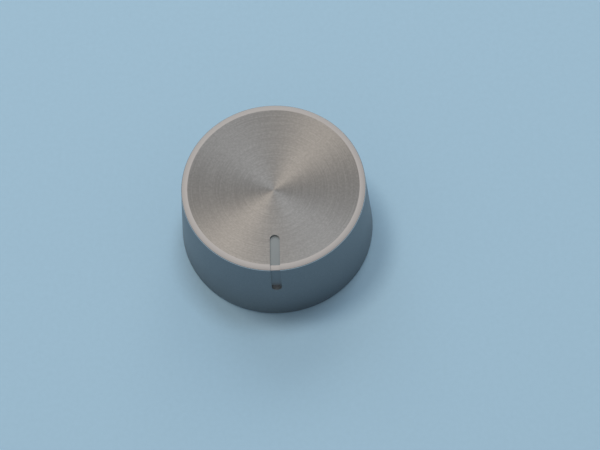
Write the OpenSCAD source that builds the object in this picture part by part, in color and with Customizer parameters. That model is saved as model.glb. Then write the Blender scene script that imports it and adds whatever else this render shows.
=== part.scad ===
// Control knob in turned aluminium: a dished face inside a bright crowned lip, a tapered side, and an
// index groove that runs out over the lip and down the side. The underside is recessed for a panel nut
// and bored for a round shaft, and a grub screw in the back locks the knob to that shaft.
// Millimetres. The knob's axis is Z, its base stands on z = 0, and the index groove points to -Y.

/* [Body] */
// Diameter of the base
base_d = 32; // [28:0.5:40]
// Overall height
height = 15.2; // [12.5:0.1:22]
// Taper of the side, in degrees from the axis
side_taper = 3.8; // [1:0.1:6]
// Radius of the edge round the base
base_round = 0.4; // [0.1:0.05:0.8]
// Radius of the edge between the lip and the side
edge_round = 0.2; // [0.05:0.05:0.4]

/* [Top] */
// Width of the lip round the face
lip_w = 1; // [0.6:0.1:1.6]
// Radius of the lip's crowned section
lip_crown = 2.5; // [2:0.1:6]
// Depth of the dished face below the lip
dish_depth = 1.5; // [0.8:0.1:2]

/* [Index groove] */
// Width of the groove
index_w = 1.6; // [0.8:0.1:2.4]
// Reach of the groove, both inward across the face and down the side
index_len = 6.7; // [4:0.1:9]
// Depth of the groove below the face and the lip
index_depth = 0.4; // [0.2:0.05:0.8]
// Depth of the groove into the side where it leaves the lip
index_rim = 0.2; // [0.1:0.05:0.5]

/* [Shaft bore] */
// Diameter of the shaft
shaft_d = 6; // [4:0.1:8]
// Clearance all round the shaft
shaft_gap = 0.025; // [0.01:0.005:0.05]
// Metal left between the bore's drilled end and the face
face_web = 1.4; // [0.8:0.1:3]
// Included angle of the bore's drilled end
drill_angle = 118; // [90:1:150]
// Diameter of the recess that clears the panel nut
nut_recess_d = 16; // [11:0.5:20]
// Depth of the nut recess
nut_recess_depth = 3.5; // [2:0.1:5]
// Chamfer at the mouths of the bore and of the recess
mouth_chamfer = 0.4; // [0.1:0.05:0.8]

/* [Grub screw] */
// Diameter of the screw's thread
screw_d = 3; // [2.5:0.5:4]
// Length of the screw
screw_len = 8; // [4:0.5:10]
// Clearance all round the screw in its hole
screw_gap = 0.03; // [0.01:0.01:0.1]
// How far the screw's point stands back from the bore
screw_back = 0.2; // [0.1:0.05:1]
// Hexagon socket across its flats
socket_af = 1.5; // [1.3:0.1:2]
// Depth of the hexagon socket
socket_depth = 2; // [1:0.1:3]
// Diameter of the rim of the cup point
cup_d = 1.6; // [1:0.1:2]
// Depth of the cup in the point
cup_depth = 0.4; // [0.2:0.05:0.8]
// Chamfer at the socket end
screw_chamfer = 0.3; // [0.1:0.05:0.5]

/* [Hidden] */
$fn = 180;

aluminium = "#b9b9b7";
blackened_steel = "#3c3d40";

// Straight lengths of a rounded edge
arc_steps = 8;
// Overshoot of a cut past the surface that it opens
over = 1;

base_r = base_d / 2;

// The side is a straight line: side_dist from the origin along its outward normal
side_out = [cos(side_taper), sin(side_taper)];
side_up = [-sin(side_taper), cos(side_taper)];
side_dist = base_r * cos(side_taper);
function side_r(z) = base_r - z * tan(side_taper);

// The lip's crown is level where it meets the dish and falls away to the side
lip_in_r = side_r(height) - lip_w;
crown_centre = [lip_in_r, height - lip_crown];
// The crown runs on a little past the lip, so that the dish cuts it to a clean inner edge
crown_end = 95;

// The edge arc is tangent to the side and to the crown
edge_along = side_dist - edge_round - crown_centre * side_out;
edge_rise = sqrt(pow(lip_crown - edge_round, 2) - pow(edge_along, 2));
edge_centre = crown_centre + edge_along * side_out + edge_rise * side_up;
edge_end = atan2(edge_rise, edge_along) + side_taper;

// The base arc is tangent to the side and to the base
base_centre = [(side_dist - base_round - base_round * side_out[1]) / side_out[0], base_round];

// The dish is part of a sphere through the lip's inner edge
dish_r = (lip_in_r * lip_in_r + dish_depth * dish_depth) / (2 * dish_depth);
dish_bottom = height - dish_depth;

// Where the groove's inner, lower and side floors lie
index_in_r = side_r(height) - index_len;
index_low = height - index_len;
index_floor = side_r(height) - index_rim;

// The bore's straight wall ends where its drill point begins
bore_r = shaft_d / 2 + shaft_gap;
drill_point = bore_r / tan(drill_angle / 2);
bore_end = dish_bottom - face_web - drill_point;
recess_r = nut_recess_d / 2;

// The grub screw meets the middle of the bore's wall
screw_z = (nut_recess_depth + bore_end) / 2;
screw_hole_r = screw_d / 2 + screw_gap;
screw_tip = bore_r + screw_back;

function arc(centre, r, from, to) =
    [for (i = [0:arc_steps]) let (a = from + (to - from) * i / arc_steps) centre + r * [cos(a), sin(a)]];

// Solid blank as it comes off the lathe, with the dish turned in its face
module turned_blank() {
    crown_tip = crown_centre + lip_crown * [cos(crown_end), sin(crown_end)];
    outline = concat(
        [[0, 0]],
        arc(base_centre, base_round, -90, side_taper),
        arc(edge_centre, edge_round, side_taper, edge_end),
        arc(crown_centre, lip_crown, edge_end, crown_end),
        [[0, crown_tip[1]]]
    );
    rotate_extrude()
        difference() {
            polygon(outline);
            translate([0, dish_bottom + dish_r])
                circle(r = dish_r, $fn = 1440);
        }
}

// Slot with one round end at the origin, open along +Y
module slot(w, length) {
    circle(d = w);
    translate([-w / 2, 0])
        square([w, length]);
}

// Cut that follows the face and the lip at an even depth, and then drops straight down the side
module index_groove() {
    reach = base_r + over;
    difference() {
        translate([0, -index_in_r - index_w / 2, index_low + index_w])
            linear_extrude(index_len)
                rotate(180)
                    slot(index_w, reach - index_in_r);
        translate([0, 0, -index_depth])
            turned_blank();
    }
    translate([0, -index_floor, index_low + index_w / 2])
        rotate([90, 0, 0])
            linear_extrude(reach - index_floor)
                slot(index_w, index_len);
}

// Recess for the panel nut, and above it the drilled bore for the shaft, with chamfered mouths
module shaft_bore() {
    outline = [
        [0, -over],
        [recess_r + mouth_chamfer + over, -over],
        [recess_r, mouth_chamfer],
        [recess_r, nut_recess_depth],
        [bore_r + mouth_chamfer, nut_recess_depth],
        [bore_r, nut_recess_depth + mouth_chamfer],
        [bore_r, bore_end],
        [0, bore_end + drill_point]
    ];
    rotate_extrude()
        polygon(outline);
}

// Hole for the grub screw, from the bore out through the back of the side
module screw_hole() {
    translate([0, 0, screw_z])
        rotate([-90, 0, 0])
            cylinder(r = screw_hole_r, h = base_r + over);
}

// The knob itself, one turned piece with a milled groove
module knob_body() {
    color(aluminium)
        difference() {
            turned_blank();
            index_groove();
            shaft_bore();
            screw_hole();
        }
}

// Socket set screw with a cup point, lying along +Y with its point towards the bore
module grub_screw() {
    screw_r = screw_d / 2;
    cup_r = cup_d / 2;
    outline = [
        [0, cup_depth],
        [cup_r, 0],
        [screw_r, screw_r - cup_r],
        [screw_r, screw_len - screw_chamfer],
        [screw_r - screw_chamfer, screw_len],
        [0, screw_len]
    ];
    color(blackened_steel)
        translate([0, screw_tip, screw_z])
            rotate([-90, 0, 0])
                difference() {
                    rotate_extrude()
                        polygon(outline);
                    translate([0, 0, screw_len - socket_depth])
                        cylinder(d = socket_af / cos(30), h = socket_depth + over, $fn = 6);
                }
}

knob_body();
grub_screw();
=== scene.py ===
import math

import bmesh
import bpy
from mathutils import Matrix, Quaternion, Vector


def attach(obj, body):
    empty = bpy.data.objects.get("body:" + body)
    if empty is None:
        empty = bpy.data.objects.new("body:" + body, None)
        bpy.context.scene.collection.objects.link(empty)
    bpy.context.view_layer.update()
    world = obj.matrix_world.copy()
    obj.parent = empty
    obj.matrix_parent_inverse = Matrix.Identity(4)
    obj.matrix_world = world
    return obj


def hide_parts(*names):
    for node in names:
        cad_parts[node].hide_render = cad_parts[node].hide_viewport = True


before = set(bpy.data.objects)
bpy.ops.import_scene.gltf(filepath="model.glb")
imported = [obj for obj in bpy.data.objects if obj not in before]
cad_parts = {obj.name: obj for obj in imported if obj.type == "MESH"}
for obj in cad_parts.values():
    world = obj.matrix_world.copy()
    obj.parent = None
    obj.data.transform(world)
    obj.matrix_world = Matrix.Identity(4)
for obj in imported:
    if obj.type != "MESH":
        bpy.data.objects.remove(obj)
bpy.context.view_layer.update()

# The knob body is turned in one piece from aluminium bar: a tapered drum with a dished face inside a
# crowned lip, recessed below for a panel nut and bored for the shaft. The index groove is milled in
# afterwards, and a hole is tapped through the back for the grub screw. Sizes are in millimetres.
mm = 0.001
base_radius = 16.0
height = 15.2
taper_angle = 3.8
base_round = 0.4
edge_round = 0.2
lip_width = 1.0
lip_crown = 2.5
dish_depth = 1.5
groove_width = 1.6
groove_reach = 6.7
groove_depth = 0.4
groove_at_rim = 0.2
recess_radius = 8.0
recess_depth = 3.5
mouth_chamfer = 0.4
shaft_radius = 3.0
shaft_slack = 0.025
face_web = 1.4
drill_angle = 118
# A tool that cuts out through the side, or the screw's end, runs at least this far past it
overrun = 2.0


def arc(centre, radius, start, end, steps):
    """Points of an arc in the plane of radius and height, its angles in degrees from straight outward."""
    angles = [math.radians(start + (end - start) * i / steps) for i in range(steps + 1)]
    return [(centre[0] + radius * math.cos(a), centre[1] + radius * math.sin(a)) for a in angles]


# The outline, from the middle of the face out over the lip, down the side and back in underneath
taper = math.radians(taper_angle)
rim_radius = base_radius - height * math.tan(taper)
lip_inside = rim_radius - lip_width
dish_radius = (lip_inside ** 2 + dish_depth ** 2) / (2 * dish_depth)
dish_steps = 24
face_outline = []
for i in range(dish_steps + 1):
    r = lip_inside * i / dish_steps
    face_outline.append((r, height - dish_depth + dish_radius - math.sqrt(dish_radius ** 2 - r ** 2)))

side_out = Vector((math.cos(taper), math.sin(taper)))
side_up = Vector((-math.sin(taper), math.cos(taper)))
side_distance = base_radius * math.cos(taper)
crown_centre = Vector((lip_inside, height - lip_crown))
edge_along = side_distance - edge_round - crown_centre.dot(side_out)
edge_rise = math.sqrt((lip_crown - edge_round) ** 2 - edge_along ** 2)
edge_centre = crown_centre + edge_along * side_out + edge_rise * side_up
edge_angle = math.degrees(math.atan2(edge_rise, edge_along)) + taper_angle
base_centre = ((side_distance - base_round - base_round * side_out[1]) / side_out[0], base_round)

straight_up, straight_down = 90, -90
crown_steps, round_steps = 10, 8
lip_outline = arc(crown_centre, lip_crown, straight_up, edge_angle, crown_steps)
edge_outline = arc(edge_centre, edge_round, edge_angle, taper_angle, round_steps)
base_outline = arc(base_centre, base_round, taper_angle, straight_down, round_steps)
side_outline = [edge_outline[-1]] + base_outline
bore_radius = shaft_radius + shaft_slack
drill_tip = height - dish_depth - face_web
bore_end = drill_tip - bore_radius / math.tan(math.radians(drill_angle / 2))
underside_outline = [
    side_outline[-1],
    (recess_radius + mouth_chamfer, 0),
    (recess_radius, mouth_chamfer),
    (recess_radius, recess_depth),
    (bore_radius + mouth_chamfer, recess_depth),
    (bore_radius, recess_depth + mouth_chamfer),
    (bore_radius, bore_end),
    (0, drill_tip),
]


def as_object(name, mesh_in_progress, finishes):
    """Makes a scene object from a mesh being built, with the given materials in its slots."""
    bmesh.ops.recalc_face_normals(mesh_in_progress, faces=mesh_in_progress.faces)
    if mesh_in_progress.calc_volume(signed=True) < 0:
        bmesh.ops.reverse_faces(mesh_in_progress, faces=mesh_in_progress.faces)
    mesh = bpy.data.meshes.new(name)
    mesh_in_progress.to_mesh(mesh)
    mesh_in_progress.free()
    for finish in finishes:
        mesh.materials.append(finish)
    made = bpy.data.objects.new(name, mesh)
    bpy.context.scene.collection.objects.link(made)
    return made


def turned(name, stretches, finishes, drop=0.0):
    """Turns (finish number, outline) stretches round the axis, the whole set drop mm lower."""
    segments = 360
    work = bmesh.new()
    angles = [2 * math.pi * j / segments for j in range(segments)]
    last = None
    for finish, outline in stretches:
        for r, z in outline if last is None else outline[1:]:
            if r == 0:
                ring = [work.verts.new((0, 0, z - drop))] * segments
            else:
                ring = [work.verts.new((r * math.cos(a), r * math.sin(a), z - drop)) for a in angles]
            for j in range(segments if last else 0):
                corners = (last[j - 1], last[j], ring[j], ring[j - 1])
                work.faces.new(dict.fromkeys(corners)).material_index = finish
            last = ring
    return as_object(name, work, finishes)


def cut(piece, tool):
    """Takes the tool's shape out of the piece, then puts the tool away."""
    bite = piece.modifiers.new("cut", "BOOLEAN")
    bite.operation = "DIFFERENCE"
    bite.solver = "EXACT"
    bite.material_mode = "INDEX"
    bite.object = tool
    before = piece.data
    name = before.name
    piece_after = piece.evaluated_get(bpy.context.evaluated_depsgraph_get())
    piece.data = bpy.data.meshes.new_from_object(piece_after)
    piece.modifiers.clear()
    bpy.data.meshes.remove(before)
    piece.data.name = name
    tool_mesh = tool.data
    bpy.data.objects.remove(tool)
    bpy.data.meshes.remove(tool_mesh)


def groove_tool(name, reach, depth, place, floor_finish, wall_finish, finishes):
    """A bar as wide as the groove, with one round end at the origin, set in place by a matrix."""
    end_steps = 32
    half = groove_width / 2
    outline = arc((0, 0), half, 180, 360, end_steps) + [(half, reach), (-half, reach)]
    work = bmesh.new()
    low = [work.verts.new((x, y, 0)) for x, y in outline]
    high = [work.verts.new((x, y, depth)) for x, y in outline]
    work.faces.new(low).material_index = floor_finish
    work.faces.new(high).material_index = floor_finish
    for j in range(len(outline)):
        work.faces.new((low[j - 1], low[j], high[j], high[j - 1])).material_index = wall_finish
    work.transform(place)
    return as_object(name, work, finishes)


# The tapped hole is a metric thread, 3 mm across with a pitch of half a millimetre, halfway up the bore
screw_radius = 1.5
thread_pitch = 0.5
thread_depth = 0.29
thread_slack = 0.03
screw_height = (recess_depth + bore_end) / 2


def thread_radius(phase):
    """Radius of the screw's thread at a part of one pitch: crest, flank, root, flank."""
    crest_end, root_start, root_end = 0.125, 0.5, 0.625
    if phase < crest_end:
        sunk = 0
    elif phase < root_start:
        sunk = (phase - crest_end) / (root_start - crest_end)
    elif phase < root_end:
        sunk = 1
    else:
        sunk = (1 - phase) / (1 - root_end)
    return screw_radius - thread_depth * sunk


def threaded_rod(name, low, high, reach, finish, finishes):
    """A rod along +Y with flat ends and a right-hand thread, reach(phase, y) being its radius."""
    pitch_lines = 8
    turn_points = 40
    work = bmesh.new()
    # The mesh lines follow the thread round, so one turn ends a whole pitch further on
    first = math.floor(low / thread_pitch) - 1
    last = math.ceil(high / thread_pitch) + 1
    rows = []
    for i in range((last - first) * pitch_lines + 1):
        row = []
        for j in range(turn_points):
            y = (first + i / pitch_lines + j / turn_points) * thread_pitch
            angle = 2 * math.pi * j / turn_points
            r = reach(i % pitch_lines / pitch_lines, y)
            row.append(work.verts.new((r * math.sin(angle), y, screw_height + r * math.cos(angle))))
        rows.append(row)
    for i in range(len(rows) - 1):
        for j in range(turn_points - 1):
            work.faces.new((rows[i][j], rows[i + 1][j], rows[i + 1][j + 1], rows[i][j + 1]))
        if i + 1 + pitch_lines < len(rows):
            ahead, ahead_next = rows[i + pitch_lines][0], rows[i + 1 + pitch_lines][0]
            work.faces.new((rows[i][-1], rows[i + 1][-1], ahead_next, ahead))
    for end, outward in ((low, -1), (high, 1)):
        whole = work.verts[:] + work.edges[:] + work.faces[:]
        bmesh.ops.bisect_plane(
            work, geom=whole, plane_co=(0, end, 0), plane_no=(0, outward, 0), clear_outer=True
        )
    bmesh.ops.holes_fill(work, edges=[edge for edge in work.edges if edge.is_boundary])
    for face in work.faces:
        face.material_index = finish
    return as_object(name, work, finishes)


def hole_radius(phase, y):
    """The tapped hole, with a small countersink where it comes out through the side."""
    countersink_end, countersink_radius = 15.6, 1.6
    return max(thread_radius(phase) + thread_slack, countersink_radius - abs(y - countersink_end))


def linear(hex_colour):
    """An sRGB hex colour as linear red, green, blue and alpha."""
    parts = [int(hex_colour[i:i + 2], 16) / 255 for i in (1, 3, 5)]
    return [p / 12.92 if p <= 0.04045 else ((p + 0.055) / 1.055) ** 2.4 for p in parts] + [1]


def node(tree, kind, sockets=None, **settings):
    """Adds one node with its settings; each socket gets a value, or a link from another node's output."""
    added = tree.nodes.new(kind)
    for name, value in settings.items():
        setattr(added, name, value)
    for name, value in (sockets or {}).items():
        if isinstance(value, bpy.types.NodeSocket):
            tree.links.new(value, added.inputs[name])
        else:
            added.inputs[name].default_value = value
    return added


def metal(name, colour, roughness, metallic=1.0):
    """A metal with one Principled shader, ready for its marks; an anodised skin is less metallic."""
    made = bpy.data.materials.new(name)
    made.use_nodes = True
    made.diffuse_color = linear(colour)
    shader = made.node_tree.nodes["Principled BSDF"]
    shader.inputs["Base Color"].default_value = linear(colour)
    shader.inputs["Metallic"].default_value = metallic
    shader.inputs["Roughness"].default_value = roughness
    return made, made.node_tree, shader


def turning_marks(tree, spacing, arcs):
    """Lines round the knob's axis, as a lathe tool leaves them, spacing mm apart and about arcs a turn."""
    turn = arcs / (2 * math.pi)
    place = node(tree, "ShaderNodeTexCoord").outputs["Object"]
    flat = node(tree, "ShaderNodeVectorMath", {0: place, 1: (1, 1, 0)}, operation="MULTIPLY").outputs[0]
    heading = node(tree, "ShaderNodeVectorMath", {0: flat}, operation="NORMALIZE").outputs[0]
    around = node(tree, "ShaderNodeVectorMath", {0: heading, "Scale": turn}, operation="SCALE").outputs[0]
    radius = node(tree, "ShaderNodeVectorMath", {0: flat}, operation="LENGTH").outputs["Value"]
    level = node(tree, "ShaderNodeSeparateXYZ", {0: place}).outputs["Z"]
    across = node(tree, "ShaderNodeMath", {0: radius, 1: level}, operation="ADD").outputs[0]
    rings = node(tree, "ShaderNodeMath", {0: across, 1: spacing * mm}, operation="DIVIDE").outputs[0]
    lift = node(tree, "ShaderNodeCombineXYZ", {"Z": rings}).outputs[0]
    where = node(tree, "ShaderNodeVectorMath", {0: around, 1: lift}, operation="ADD").outputs[0]
    return node(tree, "ShaderNodeTexNoise", {"Vector": where, "Scale": 1, "Detail": 2}).outputs[0]


# Spun and anodised aluminium: an abrasive held against the turning face leaves fine circles, so that the
# light gathers in fans that run out from the middle. The skin over them is satin, with a fine grain. The
# real lines and grain are about 0.05 mm and are drawn coarser, to show.
spun_face, tree, shader = metal("spun_anodised_aluminium", "#9b9b99", roughness=0.55, metallic=0.75)
shader.inputs["Anisotropic"].default_value = 0.95
# A quarter of a turn sets the stretch of the shine across the circles
shader.inputs["Anisotropic Rotation"].default_value = 0.25
circles = node(tree, "ShaderNodeTangent", direction_type="RADIAL", axis="Z").outputs[0]
tree.links.new(circles, shader.inputs["Tangent"])
marks = turning_marks(tree, spacing=0.13, arcs=9)
place = node(tree, "ShaderNodeTexCoord").outputs["Object"]
grain_size = 0.35 * mm
grain = node(tree, "ShaderNodeTexNoise", {"Vector": place, "Scale": 1 / grain_size, "Detail": 2}).outputs[0]
grained_marks = node(tree, "ShaderNodeMath", {0: marks, 1: grain}, operation="MULTIPLY").outputs[0]
tint = node(tree, "ShaderNodeValToRGB", {0: grained_marks})
tint.color_ramp.elements[0].position = 0.12
tint.color_ramp.elements[0].color = linear("#939391")
tint.color_ramp.elements[1].position = 0.40
tint.color_ramp.elements[1].color = linear("#a2a2a0")
tree.links.new(tint.outputs[0], shader.inputs["Base Color"])
relief = node(tree, "ShaderNodeBump", {"Height": marks, "Strength": 0.04, "Distance": 0.02 * mm})
tree.links.new(relief.outputs[0], shader.inputs["Normal"])

# Bright turned and anodised aluminium: one fine cut with a sharp tool under a clear satin skin, so the lip
# is a pale and even ring round the darker face
bright_lip, tree, shader = metal("bright_anodised_aluminium", "#b6b5b4", roughness=0.62, metallic=0.3)
marks = turning_marks(tree, spacing=0.12, arcs=14)
relief = node(tree, "ShaderNodeBump", {"Height": marks, "Strength": 0.15, "Distance": 0.01 * mm})
tree.links.new(relief.outputs[0], shader.inputs["Normal"])

# Polished aluminium: the last cut rounds off the lip's outer edge and leaves it bright, so that it mirrors
# what is round it in one thin line
polished_edge, tree, shader = metal("polished_aluminium", "#d6d7d8", roughness=0.25)
marks = turning_marks(tree, spacing=0.1, arcs=14)
relief = node(tree, "ShaderNodeBump", {"Height": marks, "Strength": 0.1, "Distance": 0.01 * mm})
tree.links.new(relief.outputs[0], shader.inputs["Normal"])

# Blasted and anodised aluminium: fine beads leave an even satin skin, which takes on the colour of what is
# round it.
# Its grey is set darker and a little bluer than bare satin metal: painted shade on the side, with a painted
# blue cast of the card. The pits are about 0.05 mm and are drawn coarser, to show.
shaded_satin_side, tree, shader = metal("satin_aluminium_painted_shade", "#868c91", roughness=0.48)
place = node(tree, "ShaderNodeTexCoord").outputs["Object"]
pit_size = 0.16 * mm
pits = node(tree, "ShaderNodeTexNoise", {"Vector": place, "Scale": 1 / pit_size, "Detail": 2}).outputs[0]
tint = node(tree, "ShaderNodeValToRGB", {0: pits})
tint.color_ramp.elements[0].position = 0.3
tint.color_ramp.elements[0].color = linear("#81878c")
tint.color_ramp.elements[1].position = 0.7
tint.color_ramp.elements[1].color = linear("#8b9196")
tree.links.new(tint.outputs[0], shader.inputs["Base Color"])
relief = node(tree, "ShaderNodeBump", {"Height": pits, "Strength": 0.25, "Distance": 0.02 * mm})
tree.links.new(relief.outputs[0], shader.inputs["Normal"])

# Machined aluminium, left as it came off the tool: feed marks that show as fine light and dark rings
machined, tree, shader = metal("machined_aluminium", "#a6a6a4", roughness=0.38)
marks = turning_marks(tree, spacing=0.18, arcs=2)
tint = node(tree, "ShaderNodeValToRGB", {0: marks})
tint.color_ramp.elements[0].position = 0.3
tint.color_ramp.elements[0].color = linear("#9e9e9c")
tint.color_ramp.elements[1].position = 0.7
tint.color_ramp.elements[1].color = linear("#adadab")
tree.links.new(tint.outputs[0], shader.inputs["Base Color"])
relief = node(tree, "ShaderNodeBump", {"Height": marks, "Strength": 0.2, "Distance": 0.02 * mm})
tree.links.new(relief.outputs[0], shader.inputs["Normal"])

# Milled aluminium: the groove's floor in the face is cut by the end of a small mill, which leaves short
# arcs across it, so it is more even than the face. Its grey is set darker and cooler than the face's:
# painted shade in the groove.
milled, tree, shader = metal("milled_aluminium", "#868e91", roughness=0.6)
place = node(tree, "ShaderNodeTexCoord").outputs["Object"]
arc_spacing = 0.12 * mm
# Four times as long across the groove as along it
long_across = (0.25, 1, 1)
across = node(tree, "ShaderNodeVectorMath", {0: place, 1: long_across}, operation="MULTIPLY").outputs[0]
arcs = node(
    tree, "ShaderNodeTexNoise", {"Vector": across, "Scale": 1 / arc_spacing, "Detail": 2}
).outputs[0]
relief = node(tree, "ShaderNodeBump", {"Height": arcs, "Strength": 0.25, "Distance": 0.01 * mm})
tree.links.new(relief.outputs[0], shader.inputs["Normal"])

# Milled aluminium for the groove's walls: the flank of the mill runs along them and leaves them smooth,
# with fine upright lines. Their grey is set far paler than the rest of the knob: painted light, so they
# stay pale in the groove's own shade.
painted_light_wall, tree, shader = metal("milled_wall_painted_light", "#d8d9d8", roughness=0.35)
place = node(tree, "ShaderNodeTexCoord").outputs["Object"]
line_spacing = 0.1 * mm
# Ten times as long up the wall as along it
long_upright = (1, 1, 0.1)
upright = node(tree, "ShaderNodeVectorMath", {0: place, 1: long_upright}, operation="MULTIPLY").outputs[0]
lines = node(
    tree, "ShaderNodeTexNoise", {"Vector": upright, "Scale": 1 / line_spacing, "Detail": 2}
).outputs[0]
relief = node(tree, "ShaderNodeBump", {"Height": lines, "Strength": 0.2, "Distance": 0.01 * mm})
tree.links.new(relief.outputs[0], shader.inputs["Normal"])

knob_finishes = [spun_face, bright_lip, polished_edge, shaded_satin_side, machined, milled, painted_light_wall]
at_face, at_lip, at_edge, at_side, at_underside, at_groove, at_wall = range(len(knob_finishes))
rim = [(at_lip, lip_outline), (at_edge, edge_outline)]
drum = [(at_face, face_outline), *rim, (at_side, side_outline), (at_underside, underside_outline)]
knob = turned("turned_knob", drum, knob_finishes)

# The groove's tool keeps clear of a second blank, set lower, so the cut follows the face and the lip
groove_inside = rim_radius - groove_reach
groove_low = height - groove_reach
lower_blank = turned(
    "lower_blank",
    [(at_groove, face_outline), *rim, (at_side, side_outline + [(0, 0)])],
    knob_finishes,
    drop=groove_depth,
)
face_cut = groove_tool(
    "face_cut",
    base_radius + overrun - groove_inside,
    groove_reach,
    Matrix.Translation((0, -groove_inside - groove_width / 2, groove_low + groove_width))
    @ Matrix.Rotation(math.pi, 4, "Z"),
    at_groove,
    at_wall,
    knob_finishes,
)
cut(face_cut, lower_blank)
cut(knob, face_cut)
# Below the lip, the groove's floor is blasted along with the side
side_floor = rim_radius - groove_at_rim
side_cut = groove_tool(
    "side_cut",
    groove_reach,
    base_radius + overrun - side_floor,
    Matrix.Translation((0, -side_floor, groove_low + groove_width / 2))
    @ Matrix.Rotation(math.pi / 2, 4, "X"),
    at_side,
    at_wall,
    knob_finishes,
)
cut(knob, side_cut)
# The tap's tool starts inside the bore
tap_start = 1.0
cut(knob, threaded_rod("tap", tap_start, base_radius + overrun, hole_radius, at_underside, knob_finishes))


def finish_mesh(piece):
    """Brings a piece from millimetres to metres, smooth but for its corners and changes of finish."""
    corner = math.radians(28)
    work = bmesh.new()
    work.from_mesh(piece.data)
    for face in work.faces:
        face.smooth = True
    for edge in work.edges:
        finishes = {face.material_index for face in edge.link_faces}
        edge.smooth = len(finishes) == 1 and edge.calc_face_angle(0) < corner
    work.transform(Matrix.Scale(mm, 4))
    work.to_mesh(piece.data)
    work.free()


finish_mesh(knob)
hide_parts("knob_body")
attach(knob, "root")

# The grub screw is a cup-point set screw of blackened steel, driven by a hexagon key. Its thread is
# rolled, its socket broached, and it sits in the tapped hole just clear of the shaft.
screw_back = 0.2
screw_length = 8.0
cup_radius = 0.8
cup_depth = 0.4
end_chamfer = 0.3
socket_flats = 1.5
socket_depth = 2.0
screw_start = bore_radius + screw_back
screw_end = screw_start + screw_length

# Blackened steel: a thin black oxide in a trace of oil, so it is nearly black with a soft grey shine
blackened, tree, shader = metal("blackened_steel", "#3a3b3e", roughness=0.42)
place = node(tree, "ShaderNodeTexCoord").outputs["Object"]
patch_size = 0.25 * mm
oxide = node(tree, "ShaderNodeTexNoise", {"Vector": place, "Scale": 1 / patch_size, "Detail": 3}).outputs[0]
tint = node(tree, "ShaderNodeValToRGB", {0: oxide})
tint.color_ramp.elements[0].position = 0.35
tint.color_ramp.elements[0].color = linear("#2f3033")
tint.color_ramp.elements[1].position = 0.65
tint.color_ramp.elements[1].color = linear("#47484b")
tree.links.new(tint.outputs[0], shader.inputs["Base Color"])


def screw_reach(phase, y):
    """The screw's thread, run out at both ends by the cup point and the chamfer."""
    point = cup_radius + max(0, y - screw_start)
    head = screw_radius - end_chamfer + max(0, screw_end - y)
    return min(thread_radius(phase), point, head)


def round_tool(name, points, sides):
    """A cutting tool turned about the screw's axis from (radius, y) points, with so many sides."""
    work = bmesh.new()
    angles = [2 * math.pi * (j + 0.5) / sides for j in range(sides)]
    rings = []
    for r, y in points:
        ring = [(r * math.sin(a), y, screw_height + r * math.cos(a)) for a in angles]
        rings.append([work.verts.new(corner) for corner in ring])
    for near, far in zip(rings, rings[1:]):
        for j in range(sides):
            work.faces.new((near[j - 1], near[j], far[j], far[j - 1]))
    work.faces.new(rings[0])
    work.faces.new(rings[-1])
    return as_object(name, work, [blackened])


screw = threaded_rod(
    "socket_screw", screw_start, screw_end, screw_reach, finish=0, finishes=[blackened]
)
socket_corner = socket_flats / 2 / math.cos(math.pi / 6)
socket_outline = [(socket_corner, screw_end - socket_depth), (socket_corner, screw_end + overrun)]
cut(screw, round_tool("key", socket_outline, sides=6))
# The cup's cone ends in a tiny flat, and is drawn as far past the point as it goes in
cup_end = 0.01
cup_outline = [(cup_end, screw_start + cup_depth), (2 * cup_radius, screw_start - cup_depth)]
cut(screw, round_tool("cup", cup_outline, sides=48))
finish_mesh(screw)
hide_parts("grub_screw")
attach(screw, "root")

# The floor is a wide sheet of pale blue card, matt, with a faint grain of short fibres. It lies a hair
# below the base, so that the two never share a plane. From here on, sizes are in metres.
floor_radius = 1.5
floor_drop = 0.00002
card = bpy.data.materials.new("pale_card")
card.use_nodes = True
tree = card.node_tree
shader = tree.nodes["Principled BSDF"]
shader.inputs["Roughness"].default_value = 0.9
shader.inputs["Specular IOR Level"].default_value = 0.2
place = node(tree, "ShaderNodeTexCoord").outputs["Object"]
fibre_length = 0.8 * mm
fibre = node(
    tree, "ShaderNodeTexNoise", {"Vector": place, "Scale": 1 / fibre_length, "Detail": 3}
).outputs[0]
tint = node(tree, "ShaderNodeValToRGB", {0: fibre})
tint.color_ramp.elements[0].color = linear("#aad0e8")
tint.color_ramp.elements[1].color = linear("#b0d6ee")
tree.links.new(tint.outputs[0], shader.inputs["Base Color"])
work = bmesh.new()
bmesh.ops.create_circle(work, cap_ends=True, segments=96, radius=floor_radius)
work.transform(Matrix.Translation((0, 0, -floor_drop)))
floor = as_object("floor", work, [card])

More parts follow.
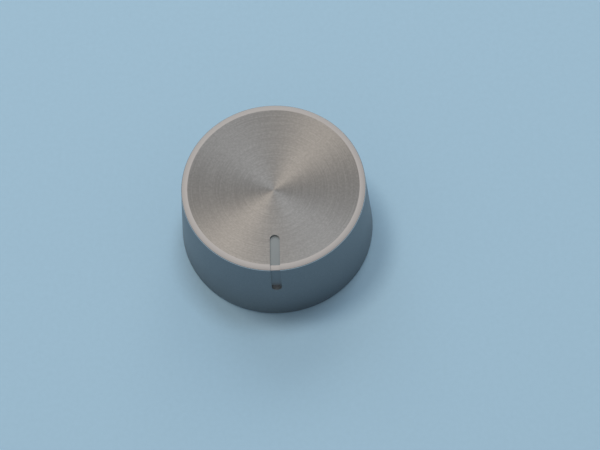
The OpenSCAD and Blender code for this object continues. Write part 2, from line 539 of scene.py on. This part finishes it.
# The light is a pale room and four soft boxes, two a little warm and two a little cool. Each two lie on
# the line of one pair of fans on the spun face, one box nearly overhead and the other lower, behind.
scene = bpy.context.scene
room = bpy.data.worlds.new("pale_room")
room.use_nodes = True
room.node_tree.nodes["Background"].inputs["Color"].default_value = linear("#fdfdff")
room.node_tree.nodes["Background"].inputs["Strength"].default_value = 0.29
scene.world = room
lamp_distance = 1.0
for name, towards, along, length, width, radiance, colour in (
    ("warm_left_box", (-0.252, 0.184), (0.6, 0.8), 0.22, 0.22, 16.4, "#fff0e2"),
    ("warm_back_box", (0.22, 0.78), (0.6, 0.8), 0.5, 0.35, 1.95, "#fff0e2"),
    ("cool_back_box", (-0.25, 0.717), (-0.6, 0.8), 0.6, 0.35, 1.5, "#f6f9ff"),
    ("cool_right_box", (0.11, 0.237), (-0.6, 0.8), 0.22, 0.22, 11.0, "#f6f9ff"),
):
    lamp = bpy.data.lights.new(name, "AREA")
    lamp.shape = "RECTANGLE"
    lamp.size = length
    lamp.size_y = width
    # An area lamp's power is pi times its area and the brightness of its face
    lamp.energy = math.pi * length * width * radiance
    lamp.color = linear(colour)[:3]
    out = Vector((*towards, math.sqrt(1 - towards[0] ** 2 - towards[1] ** 2)))
    long_axis = Vector((*along, 0))
    long_axis = (long_axis - out * long_axis.dot(out)).normalized()
    box = bpy.data.objects.new(name, lamp)
    box.matrix_world = (
        Matrix.Translation(out * lamp_distance)
        @ Matrix((long_axis, out.cross(long_axis), out)).transposed().to_4x4()
    )
    scene.collection.objects.link(box)

# The camera looks down from in front, a little from the right, through a long lens.
eye = Vector((0.012291, -0.160891, 0.333169))
aim = Vector((0.003957, -0.003479, 0.0075))
roll = math.radians(4.886)
lens = bpy.data.cameras.new("camera")
lens.lens = 132
lens.sensor_width = 36
lens.clip_start = 0.01
camera = bpy.data.objects.new("camera", lens)
camera.rotation_mode = "QUATERNION"
camera.location = eye
camera.rotation_quaternion = (aim - eye).to_track_quat("-Z", "Y") @ Quaternion((0, 0, 1), -roll)
scene.collection.objects.link(camera)
scene.camera = camera
scene.view_settings.view_transform = "Standard"
